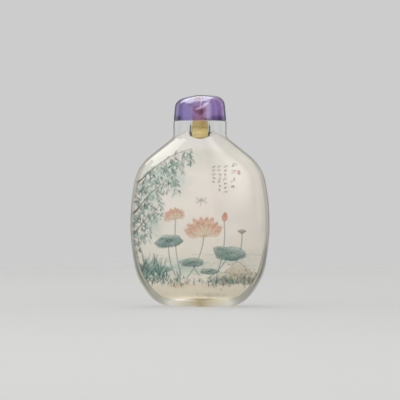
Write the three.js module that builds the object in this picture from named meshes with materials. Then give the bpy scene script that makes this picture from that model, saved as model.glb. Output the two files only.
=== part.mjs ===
// A clear glass snuff bottle with a flattened body, an amethyst stopper and its cork.
// Millimetres, +Z up. The origin is the middle of the ground base and the broad front faces -Y.
import * as THREE from "three";
import { mergeVertices } from "three/addons/utils/BufferGeometryUtils.js";

const radians = THREE.MathUtils.degToRad;

// ---- Driving dimensions ----

// Neck and bore.
const RIM_HEIGHT = 70.2;
const NECK_RADIUS = 10.1;
const BORE_RADIUS = 3.4;
const NECK_FILLET = 2.7;
const RIM_EDGE = 0.4;
const BORE_EDGE = 0.3;

// Each outline below climbs from a flat bottom, first level and then turning upward, as a
// chain of runs that meet without a corner. An arc has a radius and the degrees it turns
// through, both negative where it turns back outward. A straight run goes on for a length,
// or until it has narrowed to a half width. "steps" is the number of facets along a run.
const BODY_ARCS = [
  { radius: 11.2, turn: 45.5, steps: 7 }, // heel
  { radius: 24.4, turn: 33.4, steps: 4 }, // lower flank
  { radius: 81.4, turn: 22.1, steps: 5 }, // flank
  { radius: 17, turn: 40.8, steps: 5 }, // shoulder
];
const SLOPE_TURN = BODY_ARCS.reduce((sum, arc) => sum + arc.turn, 0);
const FRONT_OUTLINE = {
  half: 10.4,
  height: 0,
  runs: [
    ...BODY_ARCS,
    { narrowTo: NECK_RADIUS + NECK_FILLET * (1 - Math.sin(radians(SLOPE_TURN))), steps: 2 },
    { radius: -NECK_FILLET, turn: 90 - SLOPE_TURN, steps: 3 },
  ],
};
const SIDE_OUTLINE = {
  half: 6.4,
  height: 0,
  runs: [
    { radius: 4.6, turn: 66 },
    { radius: 12, turn: 16 },
    { radius: 150, turn: 16 },
    { radius: -156, turn: -6 }, // hollow sweep into the neck
  ],
};

// The cavity follows the outside, a wall's thickness in.
const WALL = 3;
const FLOOR = 3.8;
const CAVITY_FRONT = {
  half: FRONT_OUTLINE.half,
  height: FLOOR,
  runs: [
    ...BODY_ARCS.map((arc) => ({ ...arc, radius: arc.radius - WALL })),
    { narrowTo: BORE_RADIUS, steps: 5 },
  ],
};
const CAVITY_SIDE = {
  half: 5,
  height: FLOOR,
  runs: [
    { radius: 3.2, turn: 66 },
    { radius: 9, turn: 16 },
    { radius: 147, turn: 15.5 },
    { length: 13.4 },
    { radius: 5, turn: 40.5 },
    { narrowTo: BORE_RADIUS },
  ],
};

// Level sections are superellipses: round at the base and neck, squarer between.
const ROUND_EXPONENT = 2;
const EXTRA_EXPONENT = 0.5;

// Stopper: a low dome with a round shoulder, sides that lean out to the foot, and a blind hole.
const STOPPER = {
  height: 9.8,
  crownRadius: 50,
  crownTurn: 7,
  shoulderRadius: 3.8,
  sideTurn: 84.6,
  footEdge: 0.35,
  holeRadius: 1.8,
  holeDepth: 4,
};

// Cork: a plug below the stopper, and a thin tenon up into the stopper's hole.
const CORK = {
  radius: 3.05,
  length: 7,
  endRounding: 0.9,
  tenonRadius: 1.5,
  tenonHeight: 3.7,
};

// Facets around each piece.
const BOTTLE_SIDES = 64;
const STOPPER_SIDES = 48;
const CORK_SIDES = 32;

// ---- Outlines ----

// Where an arc ends that starts at a place and heading. A negative radius bends outward.
function arcEnd(start, radius, turn) {
  const heading = start.heading + radians(turn);
  return {
    half: start.half + radius * (Math.sin(heading) - Math.sin(start.heading)),
    height: start.height + radius * (Math.cos(start.heading) - Math.cos(heading)),
    heading,
  };
}

function straightEnd(start, length) {
  return {
    half: start.half + length * Math.cos(start.heading),
    height: start.height + length * Math.sin(start.heading),
    heading: start.heading,
  };
}

// Walks an outline and gives each run its start and its end.
function traceRuns(outline) {
  let place = { half: outline.half, height: outline.height, heading: 0 };
  return outline.runs.map((run) => {
    const start = place;
    if (run.radius) {
      place = arcEnd(start, run.radius, run.turn);
      return { ...run, start, end: place };
    }
    const length = run.length ?? (run.narrowTo - start.half) / Math.cos(start.heading);
    place = straightEnd(start, length);
    return { ...run, start, end: place, length };
  });
}

// The outline's half width at a height. Above its last run it stays as it ends.
function halfAt(runs, height) {
  const run = runs.find((each) => height <= each.end.height);
  if (!run) {
    return runs.at(-1).end.half;
  }
  const { start } = run;
  if (!run.radius) {
    return start.half + (height - start.height) / Math.tan(start.heading);
  }
  const cosine = Math.cos(start.heading) - (height - start.height) / run.radius;
  const sine = Math.sqrt(Math.max(0, 1 - cosine * cosine));
  return start.half + run.radius * (sine - Math.sin(start.heading));
}

// Heights of the level rings: one at the bottom and one at the end of every facet.
function ringHeights(runs) {
  const heights = [runs[0].start.height];
  for (const run of runs) {
    for (let step = 1; step <= run.steps; step += 1) {
      const part = step / run.steps;
      const place = run.radius
        ? arcEnd(run.start, run.radius, run.turn * part)
        : straightEnd(run.start, run.length * part);
      heights.push(place.height);
    }
  }
  return heights;
}

// ---- Bottle ----

function roundRing(radius, height) {
  return { halfWidth: radius, halfDepth: radius, height, exponent: ROUND_EXPONENT };
}

// Rings of a surface that rises from its flat bottom to a round opening.
function bodyRings(front, side, openingRadius) {
  const frontRuns = traceRuns(front);
  const sideRuns = traceRuns(side);
  const heights = ringHeights(frontRuns);
  const opening = roundRing(openingRadius, heights.pop());
  const rings = heights.map((height) => {
    const climbed = (height - front.height) / (opening.height - front.height);
    const exponent = ROUND_EXPONENT + EXTRA_EXPONENT * Math.sin(Math.PI * climbed);
    return { halfWidth: halfAt(frontRuns, height), halfDepth: halfAt(sideRuns, height), height, exponent };
  });
  return [...rings, opening];
}

// The rings of a small round-over from a wall up to the level rim. It rounds inward from the
// neck's wall, and with a negative edge outward from the bore's.
function edgeRings(wallRadius, edge) {
  return [0, 45, 90].map((degrees) => {
    const inward = edge * (1 - Math.cos(radians(degrees)));
    const below = Math.abs(edge) * (1 - Math.sin(radians(degrees)));
    return roundRing(wallRadius - inward, RIM_HEIGHT - below);
  });
}

// Puts a ring's points in a position list.
function pushRing(positions, { halfWidth, halfDepth, height, exponent }, sides) {
  for (let side = 0; side < sides; side += 1) {
    const angle = (2 * Math.PI * side) / sides;
    const across = Math.cos(angle);
    const deep = Math.sin(angle);
    const reach = (Math.abs(across) ** exponent + Math.abs(deep) ** exponent) ** (-1 / exponent);
    positions.push(halfWidth * across * reach, halfDepth * deep * reach, height);
  }
}

// A closed surface through rings, with a fan to the axis at its first and its last ring.
function loftGeometry(rings, sides) {
  const positions = [0, 0, rings[0].height];
  rings.forEach((each) => pushRing(positions, each, sides));
  const last = rings.length - 1;
  positions.push(0, 0, rings[last].height);
  const end = 1 + rings.length * sides;
  const indices = [];
  for (let side = 0; side < sides; side += 1) {
    const next = (side + 1) % sides;
    indices.push(0, 1 + next, 1 + side);
    for (let level = 0; level < last; level += 1) {
      const low = 1 + level * sides;
      const high = low + sides;
      indices.push(low + side, low + next, high + next);
      indices.push(low + side, high + next, high + side);
    }
    indices.push(end, 1 + last * sides + side, 1 + last * sides + next);
  }
  const geometry = new THREE.BufferGeometry();
  geometry.setAttribute("position", new THREE.Float32BufferAttribute(positions, 3));
  geometry.setIndex(indices);
  geometry.computeVertexNormals();
  return geometry;
}

// Up the outside, over the rim, down the bore and down the cavity wall to its floor.
function bottleGeometry() {
  const outside = bodyRings(FRONT_OUTLINE, SIDE_OUTLINE, NECK_RADIUS);
  const cavity = bodyRings(CAVITY_FRONT, CAVITY_SIDE, BORE_RADIUS);
  return loftGeometry(
    [
      ...outside,
      ...edgeRings(NECK_RADIUS, RIM_EDGE),
      ...edgeRings(BORE_RADIUS, -BORE_EDGE).reverse(),
      ...cavity.reverse(),
    ],
    BOTTLE_SIDES,
  );
}

// ---- Turned pieces ----

// Points on an arc that leaves a place at a heading in degrees. A positive turn is to the left.
function arcPoints(start, heading, radius, turn, steps) {
  const bend = Math.sign(turn) * radius;
  const from = radians(heading);
  const points = [];
  for (let step = 1; step <= steps; step += 1) {
    const to = radians(heading + (turn * step) / steps);
    const across = start.x + bend * (Math.sin(to) - Math.sin(from));
    const up = start.y + bend * (Math.cos(from) - Math.cos(to));
    points.push(new THREE.Vector2(across, up));
  }
  return points;
}

// Turns a profile, which goes from the axis to the axis, about +Z.
function latheGeometry(profile, sides) {
  const geometry = new THREE.LatheGeometry(profile, sides);
  geometry.rotateX(Math.PI / 2);
  geometry.deleteAttribute("normal");
  geometry.deleteAttribute("uv");
  const merged = mergeVertices(geometry, 1e-5);
  merged.computeVertexNormals();
  return merged;
}

// From the hole's ceiling, out under the foot, up the side and over the crown.
function stopperGeometry() {
  const top = new THREE.Vector2(0, STOPPER.height);
  const crown = arcPoints(top, 0, STOPPER.crownRadius, -STOPPER.crownTurn, 3);
  const shoulderTurn = STOPPER.sideTurn - STOPPER.crownTurn;
  const shoulder = arcPoints(crown.at(-1), -STOPPER.crownTurn, STOPPER.shoulderRadius, -shoulderTurn, 7);
  const sideTop = shoulder.at(-1);
  const lean = Math.tan(radians(90 - STOPPER.sideTurn));
  const footRadius = sideTop.x + lean * (sideTop.y - STOPPER.footEdge);
  const downward = [
    top,
    ...crown,
    ...shoulder,
    new THREE.Vector2(footRadius, STOPPER.footEdge),
    new THREE.Vector2(footRadius - STOPPER.footEdge, 0),
    new THREE.Vector2(STOPPER.holeRadius, 0),
    new THREE.Vector2(STOPPER.holeRadius, STOPPER.holeDepth),
    new THREE.Vector2(0, STOPPER.holeDepth),
  ];
  return latheGeometry(downward.reverse(), STOPPER_SIDES);
}

// From the plug's rounded lower end up to the tenon's top.
function corkGeometry() {
  const flat = new THREE.Vector2(CORK.radius - CORK.endRounding, -CORK.length);
  return latheGeometry(
    [
      new THREE.Vector2(0, -CORK.length),
      flat,
      ...arcPoints(flat, 0, CORK.endRounding, 90, 4),
      new THREE.Vector2(CORK.radius, 0),
      new THREE.Vector2(CORK.tenonRadius, 0),
      new THREE.Vector2(CORK.tenonRadius, CORK.tenonHeight),
      new THREE.Vector2(0, CORK.tenonHeight),
    ],
    CORK_SIDES,
  );
}

// ---- Assembly ----

function piece(name, geometry, look) {
  const mesh = new THREE.Mesh(geometry, new THREE.MeshStandardMaterial({ metalness: 0, ...look }));
  mesh.name = name;
  return mesh;
}

const bottle = piece("bottle", bottleGeometry(), { color: 0xd6d0c4, roughness: 0.12 });
const stopper = piece("stopper", stopperGeometry(), { color: 0x7d63a6, roughness: 0.1 });
const cork = piece("cork", corkGeometry(), { color: 0xc4a878, roughness: 0.85 });

// The stopper rests on the rim, and the cork hangs from the stopper's underside.
const closure = new THREE.Group();
closure.position.z = RIM_HEIGHT;
closure.add(stopper, cork);

const snuffBottle = new THREE.Group();
snuffBottle.add(bottle, closure);

export default snuffBottle;
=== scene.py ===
"""An inside-painted glass snuff bottle with an amethyst stopper, dressed round its CAD frame."""
import math

import bpy
import numpy as np
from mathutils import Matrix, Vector


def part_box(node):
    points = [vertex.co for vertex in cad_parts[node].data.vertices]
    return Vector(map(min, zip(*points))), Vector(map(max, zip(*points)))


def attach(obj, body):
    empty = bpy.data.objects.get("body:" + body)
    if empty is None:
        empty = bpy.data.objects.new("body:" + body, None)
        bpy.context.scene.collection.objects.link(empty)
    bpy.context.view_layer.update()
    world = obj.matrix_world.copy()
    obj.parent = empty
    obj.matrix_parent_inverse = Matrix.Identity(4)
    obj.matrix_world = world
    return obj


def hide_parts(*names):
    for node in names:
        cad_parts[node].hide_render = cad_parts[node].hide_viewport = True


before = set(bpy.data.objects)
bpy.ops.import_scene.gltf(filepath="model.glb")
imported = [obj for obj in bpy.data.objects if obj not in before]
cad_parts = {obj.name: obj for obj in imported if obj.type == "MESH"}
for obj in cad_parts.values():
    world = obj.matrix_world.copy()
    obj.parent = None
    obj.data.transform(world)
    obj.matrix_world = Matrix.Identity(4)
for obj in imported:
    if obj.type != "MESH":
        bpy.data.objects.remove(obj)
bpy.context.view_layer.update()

# Shapes, the painting and the scale of noise are worked out in millimetres, and the studio in metres.
MM = 0.001
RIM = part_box("bottle")[1].z / MM
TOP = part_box("stopper")[1].z / MM
CORK_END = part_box("cork")[0].z / MM
CORK_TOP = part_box("cork")[1].z / MM
CORK_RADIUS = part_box("cork")[1].x / MM


# ---- Outlines: the CAD part's arcs ----

NECK_RADIUS = 10.1
NECK_FILLET = 2.7
BORE_RADIUS = 3.4
WALL = 3.0
FLOOR = 3.8
FOOT_HALF_WIDTH = 10.4
FOOT_HALF_DEPTH = 6.4
CAVITY_HALF_DEPTH = 5
# In the shoulders the cavity narrows to a slot, and the bore is drilled on into it, down to GROOVE_FROM.
SLOT_HALF_DEPTH = 2.2
GROOVE_FROM = 58
# Arcs are pairs of a radius and a turn in degrees.
BODY_ARCS = [(11.2, 45.5), (24.4, 33.4), (81.4, 22.1), (17.0, 40.8)]
SLOPE_TURN = sum(turn for _, turn in BODY_ARCS)
SIDE_ARCS = [(4.6, 66), (12, 16), (150, 16), (-156, -6)]
CAVITY_SIDE_ARCS = [(3.2, 66), (9, 16), (147, 15.5)]
CAVITY_SIDE_RUN = 10.4
CAVITY_SHOULDER_ARC = (5, 40.5)
ROUND_EXPONENT = 2.0
EXTRA_EXPONENT = 0.5


class Outline:
    """Half a width that climbs from a flat bottom as a chain of tangent arcs and straight runs."""

    def __init__(self, half, height):
        self.points = [np.array([half, height])]
        self.heading = 0.0

    def arc(self, radius, turn, spacing=0.05):
        """Turns left along an arc of that radius, or right where both numbers are negative."""
        steps = max(2, int(abs(radius * math.radians(turn)) / spacing))
        across = np.array([-math.sin(self.heading), math.cos(self.heading)])
        centre = self.points[-1] + radius * across
        for step in range(1, steps + 1):
            at = self.heading + math.radians(turn) * step / steps
            self.points.append(centre + radius * np.array([math.sin(at), -math.cos(at)]))
        self.heading += math.radians(turn)
        return self

    def arcs(self, runs, inset=0.0):
        for radius, turn in runs:
            self.arc(radius - inset, turn)
        return self

    def straight(self, length, steps=100):
        start = self.points[-1]
        ahead = np.array([math.cos(self.heading), math.sin(self.heading)])
        for step in range(1, steps + 1):
            self.points.append(start + ahead * length * step / steps)
        return self

    def narrow_to(self, half):
        return self.straight((half - self.points[-1][0]) / math.cos(self.heading))

    def half_at(self, heights):
        places = np.array(self.points)
        return np.interp(heights, places[:, 1], places[:, 0])

    def heights(self, spacing):
        """Heights evenly spaced along the outline's length, as a column."""
        places = np.array(self.points)
        along = np.concatenate([[0], np.cumsum(np.linalg.norm(np.diff(places, axis=0), axis=1))])
        count = int(along[-1] / spacing) + 1
        return np.interp(np.linspace(0, along[-1], count), along, places[:, 1])[:, None]


FILLET_START = NECK_RADIUS + NECK_FILLET * (1 - math.sin(math.radians(SLOPE_TURN)))
OUTER_FRONT = Outline(FOOT_HALF_WIDTH, 0).arcs(BODY_ARCS).narrow_to(FILLET_START)
OUTER_FRONT.arc(-NECK_FILLET, 90 - SLOPE_TURN)
OUTER_SIDE = Outline(FOOT_HALF_DEPTH, 0).arcs(SIDE_ARCS)
CAVITY_FRONT = Outline(FOOT_HALF_WIDTH, FLOOR).arcs(BODY_ARCS, WALL).narrow_to(BORE_RADIUS)
CAVITY_SIDE = Outline(CAVITY_HALF_DEPTH, FLOOR).arcs(CAVITY_SIDE_ARCS).straight(CAVITY_SIDE_RUN)
CAVITY_SIDE.arc(*CAVITY_SHOULDER_ARC).narrow_to(SLOT_HALF_DEPTH)
SHOULDER_END = CAVITY_FRONT.points[-1][1]


def superellipse(half_width, half_depth, height, exponent, angles):
    """A level ring of points at angles, or a ring for each row where the sizes are columns."""
    across, deep = np.cos(angles), np.sin(angles)
    reach = (np.abs(across) ** exponent + np.abs(deep) ** exponent) ** (-1 / exponent)
    return np.stack([half_width * across * reach, half_depth * deep * reach, height + 0 * reach], axis=-1)


def round_ring(radius, height, angles):
    return superellipse(radius, radius, height, ROUND_EXPONENT, angles)


def body_rings(front, side, heights, angles):
    """Rings of a surface that rises from its flat bottom to a round opening."""
    bottom, top = front.points[0][1], front.points[-1][1]
    exponents = ROUND_EXPONENT + EXTRA_EXPONENT * np.sin(np.pi * (heights - bottom) / (top - bottom))
    return superellipse(front.half_at(heights), side.half_at(heights), heights, exponents, angles)


def cavity_rings(heights, angles):
    """Rings of the ground cavity, and how far each point was from the axis before the bore was drilled.

    The bore is drilled on through the narrow shoulders, and leaves a clear groove in their walls.
    """
    rings = body_rings(CAVITY_FRONT, CAVITY_SIDE, heights, angles)
    reach = np.linalg.norm(rings[..., :2], axis=-1)
    drilled = heights > GROOVE_FROM
    rings[..., :2] *= np.where(drilled, np.maximum(1, BORE_RADIUS / reach), 1)[..., None]
    return rings, reach


def edge_rings(wall_radius, edge, angles, steps=6):
    """A small round-over from a wall up to the rim: inward from the neck, or outward if negative."""
    rings = []
    for turn in np.linspace(0, math.pi / 2, steps + 1):
        radius = wall_radius - edge * (1 - math.cos(turn))
        rings.append(round_ring(radius, RIM - abs(edge) * (1 - math.sin(turn)), angles))
    return rings


def full_turn(sides):
    return np.arange(sides) * 2 * math.pi / sides


def rise(values, start, end):
    """The share that each value has come along from start to end, held at 0 and at 1."""
    return np.clip((values - start) / (end - start), 0, 1)


# ---- Meshes ----

def make_object(name, points, faces, material):
    mesh = bpy.data.meshes.new(name)
    mesh.from_pydata(np.asarray(points) * MM, [], faces)
    mesh.shade_smooth()
    mesh.materials.append(material)
    piece = bpy.data.objects.new(name, mesh)
    bpy.context.scene.collection.objects.link(piece)
    return piece


def quad_strips(levels, sides):
    """Quads between rings of points that follow one another."""
    low = (np.arange(levels - 1) * sides)[:, None]
    side = np.arange(sides)[None, :]
    after = (side + 1) % sides
    corners = [low + side, low + after, low + sides + after, low + sides + side]
    return np.stack(np.broadcast_arrays(*corners), axis=-1).reshape(-1, 4).tolist()


def fan(centre, ring_start, sides, upward):
    pairs = [(ring_start + side, ring_start + (side + 1) % sides) for side in range(sides)]
    return [(centre, a, b) if upward else (centre, b, a) for a, b in pairs]


def closed_loft(name, rings, material):
    """A closed surface through rings, with a fan to the middle of its first and its last ring."""
    sides = len(rings[0])
    middles = [rings[0].mean(axis=0), rings[-1].mean(axis=0)]
    points = np.concatenate([*rings, middles])
    faces = quad_strips(len(rings), sides)
    faces += fan(len(points) - 2, 0, sides, upward=False)
    faces += fan(len(points) - 1, (len(rings) - 1) * sides, sides, upward=True)
    return make_object(name, points, faces, material)


def full_lathe(name, profile, sides, material):
    """A closed turned piece through radius and height pairs, which start and end on flat ends."""
    rings = [round_ring(radius, height, full_turn(sides)) for radius, height in profile]
    return closed_loft(name, rings, material)


def arc_profile(start, heading, radius, turn, steps):
    """Places on an arc that leaves a place at a heading in degrees. A positive turn is to the left."""
    bend = math.copysign(radius, turn)
    begin = math.radians(heading)
    ends = begin + np.radians(turn) * np.arange(1, steps + 1) / steps
    across = start[0] + bend * (np.sin(ends) - math.sin(begin))
    height = start[1] + bend * (math.cos(begin) - np.cos(ends))
    return list(zip(across.tolist(), height.tolist()))


# ---- Painting: pigments laid on places of the cavity wall ----

def linear(red, green, blue):
    """A colour given as 0 to 255 screen values, as the linear values that shaders take."""
    values = np.array([red, green, blue]) / 255
    return np.where(values <= 0.04045, values / 12.92, ((values + 0.055) / 1.055) ** 2.4)


INK = linear(58, 62, 58)
BROWN_INK = linear(104, 80, 62)
DEEP_GREEN = linear(52, 88, 76)
TEAL = linear(98, 140, 136)
SAGE = linear(154, 180, 164)
MOSS = linear(116, 122, 86)
MIST = linear(200, 214, 206)
PEACH = linear(238, 196, 168)
ROSE = linear(212, 146, 122)
CREAM = linear(240, 230, 210)
STONE = linear(190, 178, 156)
OCHRE = linear(214, 184, 130)
RED_SEAL = linear(204, 92, 70)
WARM_WHITE = linear(255, 247, 240)
YELLOWISH_WHITE = linear(255, 246, 228)
SHOULDER_BEIGE = linear(236, 232, 220)
OLIVE_TAN = linear(160, 144, 104)
BARE_GLASS = linear(210, 208, 196)
EDGE_SHADE_LINE = linear(108, 108, 92)

BRUSH_EDGE = 0.2
OUTLINE_WIDTH = 0.16
PAINT_LAYER = "paint"
# Paint below this height lies on the cavity's floor.
FLOOR_PAINT_TOP = FLOOR + 0.05
# The picture's border and the outer line, both drawn as painted shade for the glass's dark edges,
# lie at shares of the cavity's half width. Where these change with height, and where a line's
# strength does, heights come first and then the values.
BORDER = [3.8, 5, 7, 11, 24, 50, 60], [0.82, 0.94, 0.965, 0.976, 0.996, 0.996, 0.99]
BORDER_SOFTNESS = 0.008
BORDER_LINE_STRENGTH = [4, 6, 14, 26], [0.3, 0.8, 0.8, 0.3]
OUTER_LINE = 0.9972, 0.9994
OUTER_LINE_STRENGTH = [6, 12, 20, 28], [0, 0.7, 0.5, 0]


def smooth_noise(across, height, cell, seed, lattice_size=64):
    """Soft noise from -1 to 1 over places, in cells of that size."""
    lattice = np.random.default_rng(seed).uniform(-1, 1, (lattice_size, lattice_size))
    column, row = np.floor(across / cell).astype(int), np.floor(height / cell).astype(int)
    right, up = across / cell - column, height / cell - row
    right, up = right * right * (3 - 2 * right), up * up * (3 - 2 * up)

    def corner(column_step, row_step):
        return lattice[(row + row_step) % lattice_size, (column + column_step) % lattice_size]

    low = corner(0, 0) * (1 - right) + corner(1, 0) * right
    high = corner(0, 1) * (1 - right) + corner(1, 1) * right
    return low * (1 - up) + high * up


def bowed(start, end, bow, count=14):
    """Places on a bowed line. Its middle lies off the chord by bow, to the left if positive."""
    start, end = np.array(start, float), np.array(end, float)
    share = np.linspace(0, 1, count)[:, None]
    chord = end - start
    left = np.array([-chord[1], chord[0]]) / math.hypot(*chord)
    return start + share * chord + 4 * share * (1 - share) * bow * left


class Canvas:
    """One face of the cavity wall as it is seen from outside: places in millimetres and colours."""

    def __init__(self, across, height, seed):
        self.across, self.height = across, height
        self.everywhere = np.arange(len(across))
        self.random = np.random.default_rng(seed)
        self.ragged = smooth_noise(across, height, 0.7, seed)
        self.cloudy = smooth_noise(across, height, 5, seed + 1)
        self.dry = 0.8 + 0.2 * smooth_noise(across, height, 0.45, seed + 2)
        self.colour = np.zeros((len(across), 3))

    def near(self, places, margin):
        low, high = np.min(places, axis=0) - margin, np.max(places, axis=0) + margin
        inside = (self.across > low[0]) & (self.across < high[0])
        inside &= (self.height > low[1]) & (self.height < high[1])
        return np.flatnonzero(inside)

    def turned(self, where, centre, tilt):
        """Places measured along and beside a direction through a centre."""
        cosine, sine = math.cos(math.radians(tilt)), math.sin(math.radians(tilt))
        right, up = self.across[where] - centre[0], self.height[where] - centre[1]
        return right * cosine + up * sine, up * cosine - right * sine

    def lay(self, where, cover, pigment):
        share = np.clip(cover, 0, 1)[:, None]
        self.colour[where] += share * (pigment - self.colour[where])

    def wash(self, centre, size, pigment, strength, tilt=0):
        """A soft patch that fades out toward its size and somewhat past it."""
        where = self.near([centre], 2 * max(size))
        along, beside = self.turned(where, centre, tilt)
        far = np.hypot(along / size[0], beside / size[1]) + 0.2 * self.ragged[where]
        self.lay(where, strength * np.exp(-2 * far ** 2), pigment)

    def line(self, places, width, pigment, strength=1.0, taper=0.0):
        """A brush line through places, thinner toward its end by the share that taper gives."""
        places = np.asarray(places, float)
        where = self.near(places, width)
        room = np.full(len(where), -1.0)
        spans = np.diff(places, axis=0)
        for index, (start, span) in enumerate(zip(places[:-1], spans)):
            right, up = self.across[where] - start[0], self.height[where] - start[1]
            share = np.clip((right * span[0] + up * span[1]) / (span @ span), 0, 1)
            gap = np.hypot(right - share * span[0], up - share * span[1])
            half = width / 2 * (1 - taper * (index + share) / len(spans))
            room = np.maximum(room, half - gap)
        self.lay(where, strength * (room / BRUSH_EDGE + 0.5), pigment)

    def fill(self, where, room, share, pigments, strength, outline):
        """Fills where room is positive, from one pigment to the other by share, with an inked edge."""
        ragged = room + 0.06 * self.ragged[where]
        blend = np.clip(share, 0, 1)[:, None]
        covered = strength * self.dry[where] * np.clip(ragged / BRUSH_EDGE + 0.5, 0, 1)
        self.lay(where, covered, pigments[0] + blend * (pigments[1] - pigments[0]))
        if outline is not None:
            self.lay(where, 0.7 * self.dry[where] * (1 - np.abs(room) / OUTLINE_WIDTH), outline)

    def blade(
        self, base, tilt, length, width, pigments, bend=0.0, widest=0.5, strength=1.0, outline=None,
    ):
        """A leaf or petal that leaves its base at a tilt in degrees and bends aside by its tip."""
        where = self.near([base], length + width + abs(bend))
        along, beside = self.turned(where, base, tilt)
        share = along / length
        swell = np.sin(np.pi * np.clip(share, 0, 1) ** (math.log(0.5) / math.log(widest)))
        room = width / 2 * swell - np.abs(beside - bend * share ** 2)
        room = np.where((share > 0) & (share < 1), room, -1.0)
        self.fill(where, room, share, pigments, strength, outline)

    def oval(self, centre, size, tilt, pigments, waviness=0.05, strength=1.0, outline=None):
        """A wavy oval, filled from the first pigment at its near rim to the second at its far one."""
        where = self.near([centre], 1.4 * max(size))
        along, beside = self.turned(where, centre, tilt)
        around = np.arctan2(beside / size[1], along / size[0])
        first, second = self.random.uniform(0, 6, 2)
        rim = 1 + waviness * (np.sin(3 * around + first) + 0.7 * np.sin(5 * around + second))
        room = (rim - np.hypot(along / size[0], beside / size[1])) * min(size)
        self.fill(where, room, 0.5 + 0.5 * beside / size[1], pigments, strength, outline)


def paint_ground(canvas):
    """Warm white that turns yellower and ochre toward the floor, with a band of painted shade above it.
    The floor is olive tan, with a painted highlight toward its left.
    """
    canvas.colour[:] = WARM_WHITE
    canvas.lay(canvas.everywhere, rise(canvas.height, 34, 4) + 0.15 * canvas.cloudy, YELLOWISH_WHITE)
    canvas.lay(canvas.everywhere, 0.25 * rise(canvas.height, 9, 5), OCHRE)
    canvas.lay(canvas.everywhere, 0.9 * rise(canvas.height, 50, 59), SHOULDER_BEIGE)
    # Painted shade: a grey-green band low on the wall, where it curves under toward the floor.
    canvas.wash((3.5, 4.8), (8, 1.0), MOSS, 0.4)
    on_floor = np.flatnonzero(canvas.height < FLOOR_PAINT_TOP)
    across = canvas.across[on_floor]
    canvas.colour[on_floor] = OLIVE_TAN
    # Painted highlight: the floor's paint turns white toward its left, as a streak of light.
    canvas.lay(on_floor, rise(across, -2, -7), WARM_WHITE)
    canvas.lay(on_floor, np.minimum(rise(across, 4, 10), 0.5), YELLOWISH_WHITE)


def paint_sides(canvas):
    """Leaves the sides as bare ground glass, between two thin dark lines of painted shade
    that are strongest low down.
    """
    side = np.abs(canvas.across) / CAVITY_FRONT.half_at(canvas.height)
    border = np.interp(canvas.height, *BORDER)
    canvas.lay(canvas.everywhere, rise(side, border, border + BORDER_SOFTNESS), BARE_GLASS)
    # Painted shade: a dark line along the picture's border and another at the film's outer edge.
    strength = np.interp(canvas.height, *BORDER_LINE_STRENGTH)
    canvas.lay(canvas.everywhere, strength * (1 - np.abs(side - border) / BORDER_SOFTNESS), EDGE_SHADE_LINE)
    strength = np.interp(canvas.height, *OUTER_LINE_STRENGTH)
    canvas.lay(canvas.everywhere, strength * rise(side, *OUTER_LINE), EDGE_SHADE_LINE)


FOLIAGE = [(INK, DEEP_GREEN), (DEEP_GREEN, TEAL), (TEAL, SAGE), (SAGE, MIST)]
FOLIAGE_SHARES = [0.14, 0.3, 0.36, 0.2]


def pick_foliage(canvas):
    return FOLIAGE[canvas.random.choice(len(FOLIAGE), p=FOLIAGE_SHARES)]


def paint_twig(canvas, start, end, bow, leaves):
    """A hanging willow twig with narrow leaves that fall away on either side."""
    places = bowed(start, end, bow)
    canvas.line(places, 0.16, BROWN_INK, 0.55, taper=0.6)
    along = np.sort(canvas.random.uniform(0.05, 1, leaves))
    for index, share in enumerate(along):
        place = places[int(share * (len(places) - 1))] + canvas.random.normal(0, 0.45, 2)
        side = 1 if index % 2 else -1
        tilt = -90 + side * canvas.random.uniform(8, 62)
        length = canvas.random.uniform(1.1, 2.5)
        strength = canvas.random.uniform(0.55, 1)
        pigments = pick_foliage(canvas)
        canvas.blade(place, tilt, length, 0.24 * length, pigments, bend=-0.2 * side, strength=strength)


def paint_willow(canvas):
    """Boughs that enter at the left shoulder and flank, with twigs that hang from them."""
    for place, size in (((-14, 51), (7, 5)), ((-18, 42), (4, 9)), ((-9, 47), (6, 6)), ((-17, 31), (4, 7))):
        canvas.wash(place, size, MIST, 0.6)
    boughs = [
        ((-24, 44), (-3, 59.5), 2.4, 15, 12),
        ((-24, 34), (-9.5, 49), 1.8, 10, 10),
        ((-24, 26), (-14.5, 38), 1.2, 7, 9),
    ]
    for start, end, bow, twigs, reach in boughs:
        places = bowed(start, end, bow, count=60)
        canvas.line(places, 0.6, BROWN_INK, 0.6, taper=0.8)
        for share in np.linspace(0.06, 1, twigs):
            top = places[int(share * (len(places) - 1))]
            length = reach * canvas.random.uniform(0.5, 1.15) * (1 - 0.3 * share)
            end_place = top + np.array([canvas.random.uniform(-1.2, 2.2), -length])
            paint_twig(canvas, top, end_place, canvas.random.uniform(-0.8, 0.8), int(2.6 * length))


def paint_stem(canvas, foot, top, bow, width=0.28):
    """A stalk with a few dark prickles."""
    canvas.line(bowed(foot, top, bow), width, TEAL, 0.8)
    places = bowed(foot, top, bow, count=40)
    for share in np.linspace(0.1, 0.9, 9):
        place = places[int(share * (len(places) - 1))] + canvas.random.normal(0, 0.12, 2)
        canvas.wash(place, (0.6 * width, 0.6 * width), DEEP_GREEN, 0.7)


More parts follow.
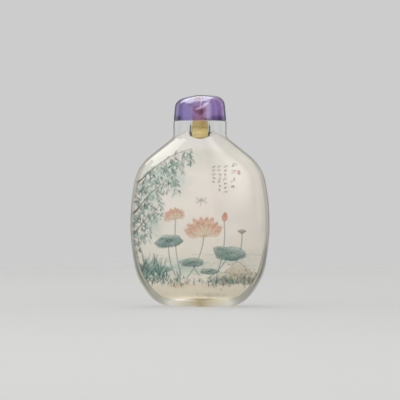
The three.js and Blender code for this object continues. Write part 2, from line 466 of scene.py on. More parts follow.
def paint_pad(canvas, centre, size, tilt, strength=1.0, veins=15):
    """A lotus leaf seen aslant: its dark underside shows below the near rim."""
    centre = np.array(centre)
    canvas.oval(centre - (0, 0.26 * size[1]), size, tilt, (DEEP_GREEN, TEAL), 0.06, 0.75 * strength)
    canvas.oval(centre, size, tilt, (TEAL, MIST), 0.09, strength, outline=DEEP_GREEN)
    for _ in range(7):
        spot = centre + canvas.random.uniform(-0.7, 0.7, 2) * size
        pigment = (DEEP_GREEN, TEAL, SAGE, MIST)[canvas.random.integers(4)]
        canvas.wash(spot, (0.35 * size[0], 0.3 * size[1]), pigment, 0.5 * strength, tilt)
    turn = math.radians(tilt)
    for around in np.linspace(0, 2 * math.pi, veins, endpoint=False) + 0.2:
        along, beside = 0.86 * size[0] * math.cos(around), 0.86 * size[1] * math.sin(around)
        across = along * math.cos(turn) - beside * math.sin(turn)
        climb = along * math.sin(turn) + beside * math.cos(turn)
        vein = bowed(centre, centre + (across, climb), 0.3)
        canvas.line(vein, 0.16, DEEP_GREEN, 0.7 * strength, taper=0.5)
    canvas.oval(centre, 0.09 * np.array(size), tilt, (MIST, CREAM), 0, strength, outline=DEEP_GREEN)


def paint_blossom(canvas, centre, size, lean=0):
    """A lotus blossom from the side: tall petals behind, spreading ones beside, short ones in front."""
    centre = np.array(centre)
    rows = [(8, 62, 1.0, 0.36), (6, 74, 0.92, 0.4), (5, 50, 0.76, 0.46)]
    for count, spread, reach, breadth in rows:
        for tilt in np.linspace(-spread, spread, count):
            heading = 90 + lean + tilt + canvas.random.uniform(-4, 4)
            length = size * reach * canvas.random.uniform(0.9, 1.08)
            aside = math.sin(math.radians(tilt))
            base = centre - (0.05 * size * aside, 0.1 * size)
            canvas.blade(
                base, heading, length, size * breadth, (CREAM, PEACH),
                bend=0.1 * size * aside, widest=0.58, outline=ROSE if breadth < 0.45 else BROWN_INK,
            )
            ahead = np.array([math.cos(math.radians(heading)), math.sin(math.radians(heading))])
            canvas.wash(base + 0.85 * length * ahead, (0.2 * size, 0.1 * size), ROSE, 0.5, heading)
    canvas.oval(centre - (0, 0.06 * size), (0.3 * size, 0.13 * size), lean, (OCHRE, CREAM), 0.1, 0.7)


def paint_bud(canvas, foot, size, tilt=90):
    """A closed bud of three petals."""
    for offset in (-16, 16, 0):
        canvas.blade(
            foot, tilt + offset, size, 0.42 * size, (PEACH, ROSE),
            bend=-0.012 * size * offset, widest=0.45, outline=ROSE,
        )


def paint_seed_pod(canvas, foot, size):
    """A lotus pod: a cup with a flat top and a row of seeds in it."""
    canvas.blade(foot, 90, 1.5 * size, 1.7 * size, (MOSS, SAGE), widest=0.7, outline=BROWN_INK)
    top = np.array(foot) + (0, 1.05 * size)
    canvas.oval(top, (0.85 * size, 0.3 * size), 0, (SAGE, CREAM), 0.05, outline=BROWN_INK)
    for step in np.linspace(-0.55, 0.55, 5):
        canvas.wash(top + (step * size, 0), (0.16, 0.13), BROWN_INK, 0.9)


def paint_boulder(canvas, centre, size, tilt=0):
    """A cream rock with an inked outline, a shaded foot, cracks and dots of moss."""
    centre = np.array(centre)
    canvas.oval(centre, size, tilt, (STONE, CREAM), 0.12, outline=BROWN_INK)
    canvas.wash(centre + (0.35 * size[0], -0.35 * size[1]), (0.6 * size[0], 0.5 * size[1]), STONE, 0.75)
    canvas.wash(centre - (0.45 * size[0], 0.1 * size[1]), (0.3 * size[0], 0.5 * size[1]), OCHRE, 0.5)
    for _ in range(8):
        start = centre + canvas.random.uniform(-0.6, 0.6, 2) * size
        end = start + canvas.random.uniform(-0.4, 0.4, 2) * size - (0, 0.3 * size[1])
        canvas.line(bowed(start, end, 0.3), 0.2, BROWN_INK, 0.75, taper=0.8)
    for _ in range(10):
        spot = centre + canvas.random.uniform(-0.7, 0.7, 2) * size + (0, 0.3 * size[1])
        canvas.wash(spot, canvas.random.uniform(0.15, 0.35, 2), DEEP_GREEN, 0.8)


def paint_grass(canvas, foot, spread, length, count):
    for _ in range(count):
        base = np.array(foot) + (canvas.random.uniform(-spread, spread), canvas.random.normal(0, 0.8))
        tilt = 90 + canvas.random.normal(0, 24)
        reach = length * canvas.random.uniform(0.4, 1.1)
        bend = canvas.random.uniform(-0.3, 0.3) * reach
        canvas.blade(base, tilt, reach, 0.05 * reach + 0.2, pick_foliage(canvas), bend=bend, strength=0.85)


def paint_water(canvas, count, low, high):
    for _ in range(count):
        start = np.array([canvas.random.uniform(-22, 18), canvas.random.uniform(low, high)])
        end = start + (canvas.random.uniform(2, 6), canvas.random.uniform(-0.3, 0.3))
        canvas.line(bowed(start, end, canvas.random.uniform(-0.35, 0.35)), 0.2, TEAL, 0.4, taper=0.7)


def paint_dragonfly(canvas, place, size):
    place = np.array(place)
    for tilt in (155, 200, 25, -20):
        canvas.blade(
            place, tilt, size, 0.26 * size, (MIST, WARM_WHITE), widest=0.6, strength=0.8, outline=TEAL,
        )
    canvas.line([place + (0, 0.25 * size), place - (0.15 * size, 0.95 * size)], 0.3, ROSE, 0.9, taper=0.5)
    canvas.wash(place + (0, 0.3 * size), (0.3, 0.3), INK, 0.9)


def paint_columns(canvas, top, columns):
    """Upright rows of small dabs of ink that spell nothing."""
    for across, drop, rows, size in columns:
        for row in range(rows):
            centre = np.array([across, top - drop - 1.45 * size * row])
            for _ in range(4):
                start = centre + canvas.random.uniform(-0.4, 0.4, 2) * size
                tilt = math.radians(canvas.random.choice([0, 90, 25, 140]) + canvas.random.normal(0, 8))
                reach = canvas.random.uniform(0.35, 0.6) * size
                end = start + reach * np.array([math.cos(tilt), -math.sin(tilt)])
                canvas.line([start, end], 0.17 * size ** 0.5, INK, 0.85, taper=0.4)


def paint_front(canvas):
    paint_ground(canvas)
    for place, size, pigment, strength in (
        ((-6, 15), (15, 4), MIST, 0.7), ((12, 19), (9, 4), MIST, 0.6), ((-8, 8.5), (6, 1.6), OCHRE, 0.55),
        ((4, 8), (8, 1.4), PEACH, 0.3), ((9, 9.5), (9, 1.5), OCHRE, 0.3),
    ):
        canvas.wash(place, size, pigment, strength)
    paint_willow(canvas)
    paint_water(canvas, 60, 8, 20)
    for foot, top, bow in (
        ((-9, 12), (-11.5, 25), 1.0), ((-5, 11), (1.5, 27.5), -1.4), ((3, 11), (10.5, 20), -1.0),
        ((-7, 12), (-9.0, 33.6), 1.0), ((6, 12), (9, 32), -1.2), ((0, 12), (-2.5, 17), 0.6),
        ((10, 12), (15.5, 27), -1.5),
    ):
        paint_stem(canvas, foot, top, bow)
    paint_pad(canvas, (-11.5, 25), (4.8, 2.1), 8)
    paint_pad(canvas, (10.8, 20.5), (5.6, 2.4), -6)
    paint_pad(canvas, (-3, 17), (4.2, 1.5), 0, 0.85)
    paint_pad(canvas, (-14.5, 14.5), (3.6, 1.2), 0, 0.75)
    paint_pad(canvas, (3.4, 13.6), (3.2, 1.0), 0, 0.7)
    paint_blossom(canvas, (1.6, 27.5), 7.2, 4)
    paint_blossom(canvas, (-9.2, 33.6), 4.2, 14)
    paint_bud(canvas, (9, 32), 3.6, 84)
    paint_seed_pod(canvas, (15.5, 27), 1.5)
    paint_boulder(canvas, (14, 12.5), (4.8, 3.8), -4)
    paint_boulder(canvas, (8.6, 10.8), (3.2, 2.3), 6)
    paint_boulder(canvas, (18.8, 11.5), (2.2, 1.9), 10)
    paint_grass(canvas, (11, 8.8), 8, 3.2, 90)
    paint_grass(canvas, (-18, 11), 4, 9, 60)
    paint_grass(canvas, (-13, 9.5), 6, 4, 60)
    paint_grass(canvas, (-2, 9), 7, 2.2, 50)
    paint_dragonfly(canvas, (0.5, 40), 2.2)
    columns = [(12.2, 0, 4, 1.9), (9.4, 0.6, 7, 1.1), (7.2, 0.6, 7, 1.0), (5.1, 0.6, 5, 1.0)]
    paint_columns(canvas, 53.4, columns)
    canvas.oval((14.4, 50.4), (0.6, 0.95), 0, (RED_SEAL, RED_SEAL), 0.08, 0.85)
    paint_sides(canvas)


def paint_back(canvas):
    """Plainer: a spray of orchid leaves with small blossoms beside a rock."""
    paint_ground(canvas)
    canvas.wash((0, 15), (15, 5), MIST, 0.6)
    for tilt, length, bend in (
        (70, 30, -7), (84, 35, 3), (100, 28, 7), (114, 30, 10), (56, 24, -8), (128, 22, 8),
    ):
        canvas.blade((-2, 12), tilt, length, 1.2, (DEEP_GREEN, SAGE), bend=bend, widest=0.4)
    for foot, size, lean in (((6, 38), 2.6, -10), ((-9, 34), 2.4, 15), ((9, 31), 2.2, -20)):
        paint_stem(canvas, (-1, 13), foot, 0.8, 0.5)
        paint_blossom(canvas, foot, size, lean)
    paint_boulder(canvas, (4, 12), (5.5, 3.6), 3)
    paint_boulder(canvas, (-5, 11), (3.2, 2.4), -5)
    paint_grass(canvas, (0, 9), 12, 3.2, 120)
    paint_water(canvas, 30, 9, 18)
    paint_sides(canvas)


# ---- Materials ----

def new_material(name, settings):
    """Gives a material whose shader has those settings, its node tree, and the shader."""
    material = bpy.data.materials.new(name)
    material.use_nodes = True
    shader = material.node_tree.nodes["Principled BSDF"]
    for setting, value in settings.items():
        shader.inputs[setting].default_value = value
    return material, material.node_tree, shader


def own_coordinates(tree, scale=(1, 1, 1)):
    """The object's own coordinates, in metres, scaled along its axes."""
    coordinates = tree.nodes.new("ShaderNodeTexCoord")
    mapping = tree.nodes.new("ShaderNodeMapping")
    mapping.inputs["Scale"].default_value = scale
    tree.links.new(coordinates.outputs["Object"], mapping.inputs["Vector"])
    return mapping.outputs["Vector"]


def own_axis(tree, axis):
    parts = tree.nodes.new("ShaderNodeSeparateXYZ")
    tree.links.new(own_coordinates(tree), parts.inputs["Vector"])
    return parts.outputs[axis]


def distance_out(tree, scale=(1, 1, 1)):
    """How far a place is from the object's origin, in its own scaled coordinates."""
    length = tree.nodes.new("ShaderNodeVectorMath")
    length.operation = "LENGTH"
    tree.links.new(own_coordinates(tree, scale), length.inputs[0])
    return length.outputs["Value"]


def mapped(tree, source, start, end, low=0.0, high=1.0, curve="LINEAR"):
    """Values from start to end turned into values from low to high, and held there beyond."""
    node = tree.nodes.new("ShaderNodeMapRange")
    node.interpolation_type = curve
    for name, value in (("From Min", start), ("From Max", end), ("To Min", low), ("To Max", high)):
        node.inputs[name].default_value = value
    tree.links.new(source, node.inputs["Value"])
    return node.outputs["Result"]


def noise(tree, scale, detail=4.0, stretch=(1, 1, 1)):
    """Noise over the object's own coordinates. Its scale is in cells per millimetre."""
    texture = tree.nodes.new("ShaderNodeTexNoise")
    texture.inputs["Scale"].default_value = scale / MM
    texture.inputs["Detail"].default_value = detail
    tree.links.new(own_coordinates(tree, stretch), texture.inputs["Vector"])
    return texture.outputs["Fac"]


def ramp(tree, source, stops):
    """Colours by a value: stops are pairs of a value and a colour, or a grey level."""
    node = tree.nodes.new("ShaderNodeValToRGB")
    elements = node.color_ramp.elements
    while len(elements) < len(stops):
        elements.new(0.5)
    for element, (value, colour) in zip(elements, stops):
        element.position = value
        element.color = (*np.broadcast_to(colour, 3).tolist(), 1)
    tree.links.new(source, node.inputs["Fac"])
    return node.outputs["Color"]


def multiplied(tree, first, second, factor=1.0):
    """The first colour darkened by the second. The factor is a number or another node's output."""
    mix = tree.nodes.new("ShaderNodeMix")
    mix.data_type = "RGBA"
    mix.blend_type = "MULTIPLY"
    if isinstance(factor, float):
        mix.inputs["Factor"].default_value = factor
    else:
        tree.links.new(factor, mix.inputs["Factor"])
    tree.links.new(first, mix.inputs[6])
    tree.links.new(second, mix.inputs[7])
    return mix.outputs[2]


def bumped(tree, shader, height, distance, strength=1.0):
    """Raises a surface by a height from 0 to 1, times a distance in millimetres."""
    bump = tree.nodes.new("ShaderNodeBump")
    bump.inputs["Distance"].default_value = distance * MM
    bump.inputs["Strength"].default_value = strength
    tree.links.new(height, bump.inputs["Height"])
    tree.links.new(bump.outputs["Normal"], shader.inputs["Normal"])


def clear_glass():
    """Faintly green glass with a few smears."""
    material, tree, shader = new_material("clear_glass", {
        "Base Color": (0.965, 0.978, 0.958, 1), "Transmission Weight": 1, "IOR": 1.5,
    })
    smears = ramp(tree, noise(tree, 0.35, 3), [(0.45, 0.0), (0.75, 0.03)])
    tree.links.new(smears, shader.inputs["Roughness"])
    return material


def inner_painting():
    """Matt pigments from the mesh's own colours, with the grain of ground glass."""
    material, tree, shader = new_material("inner_painting", {"Roughness": 0.75, "Specular IOR Level": 0.2})
    pigments = tree.nodes.new("ShaderNodeVertexColor")
    pigments.layer_name = PAINT_LAYER
    grain = ramp(tree, noise(tree, 3.2, 5), [(0.3, 0.95), (0.6, 1.0)])
    clouds = ramp(tree, noise(tree, 0.16, 2), [(0.35, 0.97), (0.6, 1.0)])
    mottled = multiplied(tree, pigments.outputs["Color"], grain)
    tree.links.new(multiplied(tree, mottled, clouds), shader.inputs["Base Color"])
    bumped(tree, shader, noise(tree, 6.0, 3), 0.02)
    return material


# The stone's colours change from side to side out to a half width, and painted shade
# darkens the corners of its foot.
ZONED_HALF_WIDTH = 9
DARK_FOOT = 3


def amethyst():
    """Violet quartz in bands and clouds, with painted shade in the corners of its foot."""
    material, tree, shader = new_material("amethyst", {
        "Transmission Weight": 1, "Roughness": 0.22, "IOR": 1.54,
        "Coat Weight": 1, "Coat Roughness": 0.03, "Coat IOR": 1.65,
    })
    across = mapped(tree, own_axis(tree, "X"), -ZONED_HALF_WIDTH * MM, ZONED_HALF_WIDTH * MM)
    zones = ramp(tree, across, [
        (0.05, (0.5, 0.42, 0.8)), (0.17, (0.5, 0.55, 1.0)), (0.27, (0.62, 0.54, 0.84)),
        (0.4, (0.9, 0.82, 0.96)), (0.52, (0.98, 0.84, 0.93)), (0.66, (0.7, 0.6, 0.9)),
        (0.86, (0.74, 0.4, 0.84)),
    ])
    clouds = ramp(tree, noise(tree, 0.22, 4, stretch=(1.4, 1, 0.8)), [
        (0.35, (0.8, 0.76, 0.95)), (0.5, (1, 1, 1)), (0.66, (0.82, 0.62, 0.86)),
    ])
    # Painted shade: the base colour darkens toward the foot, at the stone's two sides only.
    climb = mapped(tree, own_axis(tree, "Z"), RIM * MM, (RIM + DARK_FOOT) * MM)
    deep = ramp(tree, climb, [(0.0, (0.015, 0.005, 0.02)), (0.45, (0.14, 0.06, 0.2)), (0.95, (1, 1, 1))])
    corners = ramp(tree, across, [(0.06, 1.0), (0.2, 0.0), (0.62, 0.0), (0.8, 1.0)])
    tint = multiplied(tree, zones, clouds, 0.8)
    tree.links.new(multiplied(tree, tint, deep, corners), shader.inputs["Base Color"])
    absorb = tree.nodes.new("ShaderNodeVolumeAbsorption")
    absorb.inputs["Color"].default_value = (0.42, 0.25, 0.72, 1)
    absorb.inputs["Density"].default_value = 62
    tree.links.new(absorb.outputs["Volume"], tree.nodes["Material Output"].inputs["Volume"])
    return material


def stained_resin():
    """Plum-red glue, set in blotches around the cork's tenon."""
    material, tree, shader = new_material("stained_resin", {"Roughness": 0.5})
    blotches = ramp(tree, noise(tree, 0.5, 3), [
        (0.38, linear(120, 30, 84)), (0.5, linear(176, 84, 112)), (0.6, linear(224, 170, 206)),
    ])
    tree.links.new(blotches, shader.inputs["Base Color"])
    return material


def milky_veil():
    """Whitish flaws that scatter light inside the stone."""
    material, tree, shader = new_material("milky_veil", {"Roughness": 0.6})
    wisps = ramp(tree, noise(tree, 0.8, 4), [(0.3, (0.85, 0.7, 0.86)), (0.7, (1.0, 0.94, 1.0))])
    tree.links.new(wisps, shader.inputs["Base Color"])
    return material


def cork_bark():
    """Ochre bark with pores: pale in its lower part, darker above, and dark red-brown at its top."""
    material, tree, shader = new_material("cork_bark", {"Roughness": 0.85})
    streaks = ramp(tree, noise(tree, 0.4, 5, stretch=(0.6, 0.6, 1.8)), [
        (0.3, (0.72, 0.66, 0.55)), (0.55, (1, 1, 1)),
    ])
    height_tones = ramp(tree, mapped(tree, own_axis(tree, "Z"), CORK_END * MM, CORK_TOP * MM), [
        (0.0, linear(190, 164, 106)), (0.06, linear(240, 216, 148)),
        (0.26, linear(240, 214, 142)), (0.4, linear(200, 172, 94)),
        (0.64, linear(190, 160, 88)), (0.7, linear(150, 72, 60)),
    ])
    bark = multiplied(tree, height_tones, streaks, 0.8)
    pores = ramp(tree, noise(tree, 2.6, 2), [(0.36, 0.45), (0.46, 1.0)])
    tree.links.new(multiplied(tree, bark, pores, 0.8), shader.inputs["Base Color"])
    bumped(tree, shader, noise(tree, 2.0, 5), 0.15, 0.8)
    return material


# ---- Pieces ----

GLASS_SIDES = 256
GLASS_SPACING = 0.45
NECK_EDGE = 0.4
BORE_EDGE = 0.3


def make_bottle():
    angles = full_turn(GLASS_SIDES)
    outside = body_rings(OUTER_FRONT, OUTER_SIDE, OUTER_FRONT.heights(GLASS_SPACING), angles)
    # The solid's box is a hair narrower than its curves, because its sides are flat facets.
    outside[..., :2] *= np.array(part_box("bottle")[1])[:2] / MM / outside[..., :2].max(axis=(0, 1))
    cavity, _ = cavity_rings(CAVITY_FRONT.heights(GLASS_SPACING), angles)
    neck = edge_rings(NECK_RADIUS, NECK_EDGE, angles)
    bore = edge_rings(BORE_RADIUS, -BORE_EDGE, angles)[::-1]
    return closed_loft("glass_body", [*outside, *neck, *bore, *cavity[::-1]], clear_glass())


FILM_HALF_THICKNESS = 0.03
WIDEST_HEIGHT = 30
FRONT_COLUMNS = 220
BACK_COLUMNS = 110
ROW_SPACING = 0.27
# The film's inner skin has a column and a row for every COARSE of the outer skin's.
COARSE = 5
MAP_BORDER = 0.01
# Start and width of the map's panels: the outer skin's front and back, then the inner skin's.
MAP_PANELS = [(0.01, 0.5), (0.52, 0.28), (0.81, 0.12), (0.94, 0.05)]


def film_angles(samples=4001):
    """Angles of the film's columns, evenly spaced along its widest ring, closer on the front."""
    fine = np.linspace(0, 2 * math.pi, samples)
    halves = CAVITY_FRONT.half_at(WIDEST_HEIGHT), CAVITY_SIDE.half_at(WIDEST_HEIGHT)
    ring = superellipse(*halves, WIDEST_HEIGHT, ROUND_EXPONENT + EXTRA_EXPONENT, fine)
    along = np.concatenate([[0], np.cumsum(np.linalg.norm(np.diff(ring, axis=0), axis=1))])
    half = along[-1] / 2
    places = [np.linspace(0, half, BACK_COLUMNS, endpoint=False)]
    places.append(half + np.linspace(0, half, FRONT_COLUMNS, endpoint=False))
    return np.interp(np.concatenate(places), along, fine)


def wall_layer(angles, spacing, offset):
    """Places just outside or inside the ground wall, in rows from the floor up.

    Each column stops where the bore cuts into the wall, so that the drilled cylinder stays clear
    and the cork shows through it.
    """
    levels = np.linspace(GROOVE_FROM, SHOULDER_END, 200)[:, None]
    _, reach = cavity_rings(levels, angles)
    tops = np.array([np.interp(-BORE_RADIUS, -column, levels[:, 0]) for column in reach.T])
    climb = (CAVITY_FRONT.heights(spacing) - FLOOR) / (SHOULDER_END - FLOOR)
    grid, _ = cavity_rings(FLOOR + climb * (tops - FLOOR), angles)
    around = np.roll(grid, -1, axis=1) - np.roll(grid, 1, axis=1)
    normals = np.cross(around, np.gradient(grid, axis=0))
    return grid + offset * normals / np.linalg.norm(normals, axis=2, keepdims=True)


def make_painting():
    """A closed skin on the cavity wall: fine outside, where it is painted, and coarse inside."""
    angles = film_angles()
    sides = len(angles)
    outer = wall_layer(angles, ROW_SPACING, FILM_HALF_THICKNESS)
    inner = wall_layer(angles[::COARSE], ROW_SPACING * COARSE, -FILM_HALF_THICKNESS)
    inner_sides = inner.shape[1]
    lip, inner_start = (len(outer) - 1) * sides, len(outer) * sides
    inner_lip = inner_start + (len(inner) - 1) * inner_sides
    middles = [outer[0].mean(axis=0), inner[0].mean(axis=0)]
    points = np.concatenate([outer.reshape(-1, 3), inner.reshape(-1, 3), middles])
    faces = quad_strips(len(outer), sides)
    inner_quads = quad_strips(len(inner), inner_sides)
    faces += [tuple(inner_start + corner for corner in quad[::-1]) for quad in inner_quads]
    faces += fan(len(points) - 2, 0, sides, upward=False)
    faces += fan(len(points) - 1, inner_start, inner_sides, upward=True)
    for side in range(inner_sides):
        fine_edge = [lip + (side * COARSE + step) % sides for step in range(COARSE + 1)]
        faces.append((*fine_edge, inner_lip + (side + 1) % inner_sides, inner_lip + side))
    film = make_object("inner_painting", points, faces, inner_painting())
    colour_film(film.data, points)
    map_film(film.data, outer.shape, inner.shape)
    return film


def colour_film(mesh, points):
    colours = np.ones((len(points), 4))
    for facing, paint, seed in ((-1, paint_front, 5), (1, paint_back, 9)):
        where = np.flatnonzero(facing * points[:, 1] >= 0)
        canvas = Canvas(-facing * points[where, 0], points[where, 2], seed)
        paint(canvas)
        colours[where, :3] = canvas.colour
    layer = mesh.color_attributes.new(name=PAINT_LAYER, type="FLOAT_COLOR", domain="POINT")
    layer.data.foreach_set("color", colours.ravel())


def map_film(mesh, outer_shape, inner_shape):
    """Unrolls the film's four faces side by side on the map that its colours are baked to."""
    corner = np.zeros(len(mesh.loops), dtype=np.int32)
    count = np.zeros(len(mesh.polygons), dtype=np.int32)
    centre = np.zeros(3 * len(mesh.polygons))
    mesh.loops.foreach_get("vertex_index", corner)
    mesh.polygons.foreach_get("loop_total", count)
    mesh.polygons.foreach_get("center", centre)
    (rows, sides), (inner_rows, inner_sides) = outer_shape[:2], inner_shape[:2]
    inside = corner >= rows * sides
    on_inner = corner - rows * sides
    column = np.where(inside, on_inner % inner_sides * COARSE, corner % sides)
    climb = np.where(inside, on_inner // inner_sides / (inner_rows - 1), corner // sides / (rows - 1))
    climb = np.where(climb > 1, 0, climb)
    front = np.repeat(centre[1::3] < 0, count)
    column = np.where(front & (column == 0), sides, column)
    share = np.where(front, (column - BACK_COLUMNS) / FRONT_COLUMNS, column / BACK_COLUMNS)
    first_corner = np.concatenate([[0], np.cumsum(count)[:-1]])
    panel = 2 * np.repeat(np.maximum.reduceat(inside, first_corner), count) + ~front
    start, width = np.array(MAP_PANELS)[panel].T
    across = start + width * np.clip(share, 0, 1)
    up = MAP_BORDER + (1 - 2 * MAP_BORDER) * climb
    layer = mesh.uv_layers.new(name="OFBake")
    layer.data.foreach_set("uv", np.stack([across, up], axis=1).ravel())


CROWN_FLAT, CROWN_RADIUS, CROWN_TURN = 0.4, 50, 7
SHOULDER_RADIUS, SIDE_TURN = 3.8, 84.6
FOOT_EDGE = 0.35
HOLE_RADIUS, HOLE_DEPTH = 1.4, 4
STOPPER_SIDES = 192
# One shoulder was ground a little lower than the other.
DROOP, DROOP_FROM, DROOP_ACROSS = 1.3, 75, (-1, -10)


def make_stopper():
    profile = [(CROWN_FLAT, TOP), *arc_profile((0, TOP), 0, CROWN_RADIUS, -CROWN_TURN, 12)[1:]]
    profile += arc_profile(profile[-1], -CROWN_TURN, SHOULDER_RADIUS, CROWN_TURN - SIDE_TURN, 24)
    radius, height = profile[-1]
    fall = height - RIM - FOOT_EDGE
    flare = fall * math.tan(math.radians(90 - SIDE_TURN))
    profile += np.linspace((radius, height), (radius + flare, height - fall), 8)[1:].tolist()
    profile += arc_profile(profile[-1], -SIDE_TURN, FOOT_EDGE, SIDE_TURN - 180, 6)
    profile += [(HOLE_RADIUS, RIM), (HOLE_RADIUS, RIM + HOLE_DEPTH)]
    rings = [round_ring(radius, height, full_turn(STOPPER_SIDES)) for radius, height in profile[::-1]]
    for ring in rings:
        ring[:, 2] -= DROOP * rise(ring[:, 0], *DROOP_ACROSS) * rise(ring[:, 2], DROOP_FROM, TOP)
    return closed_loft("amethyst_stopper", rings, amethyst())


VEIL_HALF_THICKNESS = 0.05


def make_veils():
    """Milky wisps sealed in the stone: thin bent ribbons, each a closed strip of its own."""
    routes = [
        ([(0.3, -6.6, 78.6), (0.5, -6.4, 77.2), (0.0, -6.2, 75.4)], 0.8),
        ([(4.2, -4.6, 78.8), (3.2, -5.2, 76.9), (0.9, -6.2, 75.2), (-1.8, -6.0, 74.2)], 1.1),
        ([(-3.6, 4.4, 78.2), (-2.2, 5.0, 76.4), (0.6, 5.2, 74.6), (2.6, 4.6, 74.0)], 0.9),
        ([(5.4, 2.0, 77.6), (5.8, 0.4, 75.8), (5.2, -1.4, 74.2)], 0.7),
    ]
    points, faces = [], []
    for route, width in routes:
        ribbon, quads = ribbon_shell(np.array(route), width)
        faces += [tuple(len(points) + corner for corner in quad) for quad in quads]
        points += ribbon
    return make_object("amethyst_veils", points, faces, milky_veil())


def ribbon_shell(route, width, steps=24, smoothings=6):
    """A closed flat strip along a smooth route, narrow at both ends, that faces away from the axis."""
    share = np.linspace(0, len(route) - 1, steps)
    line = np.stack([np.interp(share, range(len(route)), route[:, axis]) for axis in range(3)], axis=1)
    for _ in range(smoothings):
        line[1:-1] = (line[:-2] + 2 * line[1:-1] + line[2:]) / 4
    ahead = np.gradient(line, axis=0)
    outward = line * (1, 1, 0)
    outward /= np.linalg.norm(outward, axis=1, keepdims=True)
    aside = np.cross(ahead, outward)
    aside /= np.linalg.norm(aside, axis=1, keepdims=True)
    reach = aside * width / 2 * np.sin(np.pi * np.linspace(0.04, 0.96, steps))[:, None]
    skin = outward * VEIL_HALF_THICKNESS
    rings = np.stack([line + reach, line + skin, line - reach, line - skin], axis=1)
    quads = quad_strips(steps, 4)
    quads += [[3, 2, 1, 0], [4 * steps - 4, 4 * steps - 3, 4 * steps - 2, 4 * steps - 1]]
    return rings.reshape(-1, 3).tolist(), quads


RESIN_GAP = 0.1
RESIN_THICKNESS = 0.25
RESIN_FLAT = 0.3


def make_resin():
    """A thin cap of glue sealed in the stone, over the hole that holds the cork's tenon."""
    inner, top = HOLE_RADIUS + RESIN_GAP, RIM + HOLE_DEPTH + RESIN_GAP
    outer = inner + RESIN_THICKNESS
    low = RIM + RESIN_GAP
    profile = [(RESIN_FLAT, top), (inner, top), (inner, low), (outer, low), (outer, top)]
    profile += arc_profile((outer, top), 90, outer - RESIN_FLAT, 90, 8)
    return full_lathe("tenon_resin", profile, 64, stained_resin())


CORK_ROUNDING = 0.9
TENON_RADIUS = 1.2


def make_cork():
    end = CORK_RADIUS - CORK_ROUNDING
    profile = [(end, CORK_END), *arc_profile((end, CORK_END), 0, CORK_ROUNDING, 90, 8)]
    profile += [(CORK_RADIUS, height) for height in np.linspace(CORK_END + CORK_ROUNDING, RIM, 20)[1:]]
    profile += [(TENON_RADIUS, RIM), (TENON_RADIUS, CORK_TOP)]
    return full_lathe("cork_plug", profile, 96, cork_bark())


# ---- Studio: in metres ----

CAMERA_DISTANCE = 1.2
CAMERA_SPAN = 0.1516
CAMERA_HEIGHT = 0.0403
BOTTLE_MIDDLE = (0, 0, 0.045)
LAMP_HEIGHT = 0.0003
STUDIO_GREY = (0.6, 0.607, 0.6, 1)
# The floor fades out between two distances, and glows more from the bottle back to a depth.
FLOOR_WIDTH = 2.3
FLOOR_FADE = (0.25, 1.1)
FLOOR_GLOW = (0.282, 0.39)
FLOOR_GLOW_DEPTH = 0.6


def stand(name, data, place, aim=None):
    """Puts something in the studio, turned so that it looks at a place."""
    thing = bpy.data.objects.new(name, data)
    thing.location = place
    if aim is not None:
        thing.rotation_euler = (Vector(aim) - Vector(place)).to_track_quat("-Z", "Y").to_euler()
    bpy.context.scene.collection.objects.link(thing)
    return thing


def make_camera():
    data = bpy.data.cameras.new("camera")
    data.lens = data.sensor_width * CAMERA_DISTANCE / CAMERA_SPAN
    data.clip_start, data.clip_end = 0.05, 50
    camera = stand("camera", data, (0, -CAMERA_DISTANCE, CAMERA_HEIGHT))
    camera.rotation_euler = (math.pi / 2, 0, 0)
    bpy.context.scene.camera = camera


def rectangle(name, width, height, material, upward=False):
    """A flat mesh that faces down its own z axis, or up it."""
    x, y = width / 2, height / 2
    corners = (0, 1, 2, 3) if upward else (0, 3, 2, 1)
    mesh = bpy.data.meshes.new(name)
    mesh.from_pydata([(-x, -y, 0), (x, -y, 0), (x, y, 0), (-x, y, 0)], [], [corners])
    mesh.materials.append(material)
    return mesh


def make_floor():
    """A floor that fades out, at the same distance all round, into the studio's plain background."""
    material, tree, shader = new_material("floor", {
        "Base Color": (0.24, 0.24, 0.236, 1), "Emission Color": (1, 1, 0.99, 1), "Roughness": 0.7,
    })
    fade = mapped(tree, distance_out(tree), *FLOOR_FADE, 1, 0, "SMOOTHSTEP")
    glow = mapped(tree, own_axis(tree, "Y"), 0, FLOOR_GLOW_DEPTH, *FLOOR_GLOW)
    tree.links.new(fade, shader.inputs["Alpha"])
    tree.links.new(glow, shader.inputs["Emission Strength"])
    mesh = rectangle("floor", FLOOR_WIDTH, FLOOR_WIDTH, material, upward=True)
    stand("floor", mesh, (0, 0, 0))


def flat_card(name, place, width, height, material):
    """A card that looks at the bottle and that no camera sees."""
    card = stand(name, rectangle(name, width, height, material), place, BOTTLE_MIDDLE)
    card.visible_camera = False
    card.visible_transmission = False
    card.visible_shadow = False
    return card


def make_softbox(name, place, width, height, radiance, falloff=0.0):
    """A soft light. Its face is even, or fades out toward its rim over the share that falloff gives."""
    material, tree, shader = new_material(name, {})
    tree.nodes.remove(shader)
    glow = tree.nodes.new("ShaderNodeEmission")
    tree.links.new(glow.outputs["Emission"], tree.nodes["Material Output"].inputs["Surface"])
    start, end, at_rim = (1 - falloff, 1, 0) if falloff else (1, 2, radiance)
    distance = distance_out(tree, (2 / width, 2 / height, 1))
    fade = mapped(tree, distance, start, end, radiance, at_rim, "SMOOTHSTEP")
    tree.links.new(fade, glow.inputs["Strength"])
    return flat_card(name, place, width, height, material)


def make_dark_card(name, place, width, height):
    """Darkens the edges of the glass, where they bend the view to the side."""
    material, _, _ = new_material(name, {"Base Color": (0.1, 0.1, 0.1, 1)})
    card = flat_card(name, place, width, height, material)
    card.visible_transmission = True
    card.visible_diffuse = False
    return card


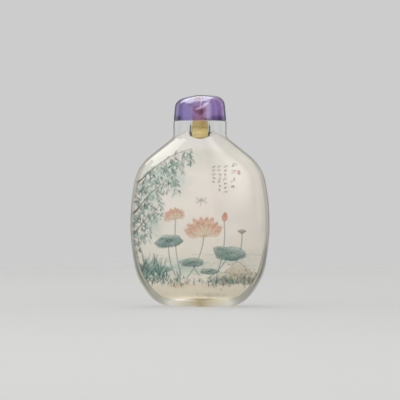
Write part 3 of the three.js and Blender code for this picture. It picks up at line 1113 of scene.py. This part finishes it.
def make_foot_lamp(width, depth, radiance):
    """A flat oval lamp under the bottle, which lights the floor of the painted film from below."""
    data = bpy.data.lights.new("foot_lamp", "AREA")
    data.shape = "ELLIPSE"
    data.size, data.size_y = width, depth
    face = width * depth * math.pi / 4
    data.energy = radiance * math.pi * face
    lamp = stand("foot_lamp", data, (0, 0, LAMP_HEIGHT), BOTTLE_MIDDLE)
    lamp.visible_camera = False
    lamp.visible_transmission = False
    lamp.visible_glossy = False


def make_studio():
    world = bpy.data.worlds.new("studio")
    bpy.context.scene.world = world
    world.use_nodes = True
    world.node_tree.nodes["Background"].inputs["Color"].default_value = STUDIO_GREY
    make_softbox("softbox_top", (-0.05, 0.02, 0.75), 0.5, 0.42, 2.6)
    make_softbox("softbox_right", (0.5, -0.72, 0.42), 1.1, 0.75, 3.55, falloff=1.0)
    make_softbox("softbox_left", (-0.74, -0.52, 0.36), 0.9, 0.85, 3.05, falloff=1.0).visible_glossy = False
    make_softbox("softbox_low", (0.1, -0.85, 0.06), 0.6, 0.3, 3.7).visible_glossy = False
    make_softbox("softbox_ceiling", (-0.17, 0.0, 0.75), 1.15, 1.25, 3.9).visible_diffuse = False
    make_foot_lamp(0.05, 0.02, 0.9)
    make_dark_card("dark_card_high", (0, 0.8, 0.21), 0.5, 0.22).visible_transmission = False
    for side in (-1, 1):
        make_dark_card("dark_card_side", (side * 0.6, 0.1, 0.1), 0.3, 0.9)
        make_dark_card("dark_card_back", (side * 0.36, 0.7, 0.1), 0.36, 0.9).visible_transmission = False


# ---- Assembly ----

make_camera()
make_floor()
make_studio()
scene = bpy.context.scene
scene.view_settings.view_transform = "Standard"

bottle = make_bottle()
bottle.visible_shadow = False
painting = make_painting()
stopper = make_stopper()
stopper.visible_shadow = False
veils = make_veils()
resin = make_resin()
cork = make_cork()
for piece, slot in (
    (bottle, "glass"), (painting, "painting"), (stopper, "amethyst"), (veils, "amethyst"),
    (resin, "amethyst"), (cork, "cork"),
):
    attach(piece, "root")
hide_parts("bottle")
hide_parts("stopper")
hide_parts("cork")
